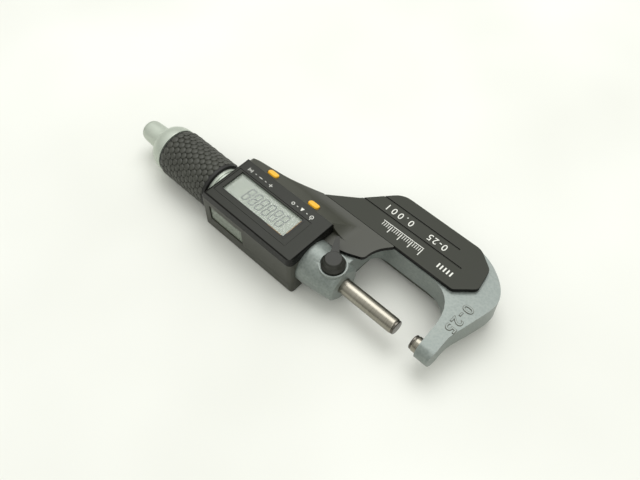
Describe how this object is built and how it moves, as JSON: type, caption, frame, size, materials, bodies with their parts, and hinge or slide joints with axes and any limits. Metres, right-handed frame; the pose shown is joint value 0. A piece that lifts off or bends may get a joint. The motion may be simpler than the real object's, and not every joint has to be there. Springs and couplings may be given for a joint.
{
  "type": "outside micrometer",
  "caption": "Digital outside micrometer with a C frame, keyed spindle fed by a gripped thimble, friction knob, spindle lock, and a display housing with side window.",
  "frame": {"origin": "middle of the anvil's measuring face, on the spindle axis", "axes": "+X along the spindle axis from the anvil to the thimble; +Y out of the open side of the C frame; +Z the way the display faces"},
  "size_m": [0.1654, 0.0573, 0.0236],
  "materials": {
    "hammertone_enamel": "grey hammertone enamel on cast iron",
    "dark_plastic": "fine texture",
    "black_plastic": "satin",
    "grip_rubber": "moulded scales",
    "seal_rubber": "smooth",
    "ground_steel": "ground and polished",
    "carbide": "lapped",
    "satin_chrome": "satin",
    "bronze": "turned",
    "button_yellow": "satin",
    "clear_window": "polished",
    "screen": "liquid crystal display",
    "circuit_board": "laminate",
    "screw_steel": "plated"
  },
  "bodies": {
    "frame": {"frame": "hammertone_enamel", "anvil": "ground_steel", "anvil_tip": "carbide", "spindle_bush": "bronze", "wiper_seal": "seal_rubber", "guide_key": "screw_steel", "inner_sleeve": "satin_chrome", "lock_pad": "bronze", "lock_seal": "seal_rubber", "front_cover": "dark_plastic", "rear_cover": "dark_plastic", "housing_case": "dark_plastic", "housing_rear": "dark_plastic", "bezel": "black_plastic", "display_frame": "black_plastic", "lcd_window": "clear_window", "lcd_panel": "screen", "zebra_strip": "seal_rubber", "circuit_board": "circuit_board", "processor": "black_plastic", "side_window": "clear_window", "encoder_stator": "circuit_board", "switch_1": "screw_steel", "switch_2": "screw_steel", "battery": "satin_chrome", "battery_contact": "bronze", "rear_screw_1": "screw_steel", "rear_screw_2": "screw_steel", "rear_screw_3": "screw_steel", "rear_screw_4": "screw_steel", "cover_screw_1": "screw_steel", "cover_screw_2": "screw_steel"},
    "thimble": {"thimble": "satin_chrome", "grip": "grip_rubber", "lead_nut": "bronze", "encoder_rotor": "circuit_board", "ratchet_screw": "screw_steel", "ratchet_wheel": "ground_steel"},
    "spindle": {"spindle": "ground_steel", "spindle_tip": "carbide"},
    "knob": {"ratchet_knob": "satin_chrome", "ratchet_pawl": "ground_steel", "ratchet_spring": "screw_steel", "knob_cap": "satin_chrome"},
    "lock": {"lock_lever": "black_plastic", "lock_shaft": "screw_steel"},
    "button_1": {"button_1": "button_yellow"},
    "button_2": {"button_2": "button_yellow"},
    "battery_cap": {"battery_cap": "black_plastic", "cap_seal": "seal_rubber"}
  },
  "joints": [
    {"name": "thimble_turn", "type": "hinge", "parent": "frame", "child": "thimble", "pos_m": [0.12, 0, 0], "axis": [1, 0, 0], "range_deg": [-5360, 12850]},
    {"name": "spindle_feed", "type": "slide", "parent": "frame", "child": "spindle", "axis": [1, 0, 0], "range_m": [-0.00748, 0.01788]},
    {"name": "knob_turn", "type": "hinge", "parent": "thimble", "child": "knob", "pos_m": [0.146, 0, 0], "axis": [1, 0, 0], "continuous": true},
    {"name": "lock_turn", "type": "hinge", "parent": "frame", "child": "lock", "pos_m": [0.0394, 0, 0.009], "axis": [0, 0, 1], "range_deg": [-45, 30]},
    {"name": "button_1_press", "type": "slide", "parent": "frame", "child": "button_1", "axis": [0, 0.526, -0.8505], "range_m": [0, 0.0006], "stiffness_N_per_m": 1500, "springref_m": -0.0003},
    {"name": "button_2_press", "type": "slide", "parent": "frame", "child": "button_2", "axis": [0, 0.526, -0.8505], "range_m": [0, 0.0006], "stiffness_N_per_m": 1500, "springref_m": -0.0003},
    {"name": "cap_turn", "type": "hinge", "parent": "frame", "child": "battery_cap", "pos_m": [0.072, -0.0118, -0.0103], "axis": [0, 0, 1], "range_deg": [0, 90]}
  ],
  "couplings": [
    {"joint": "spindle_feed", "follows": "thimble_turn", "m_per_rad": 0.000079577}
  ]
}
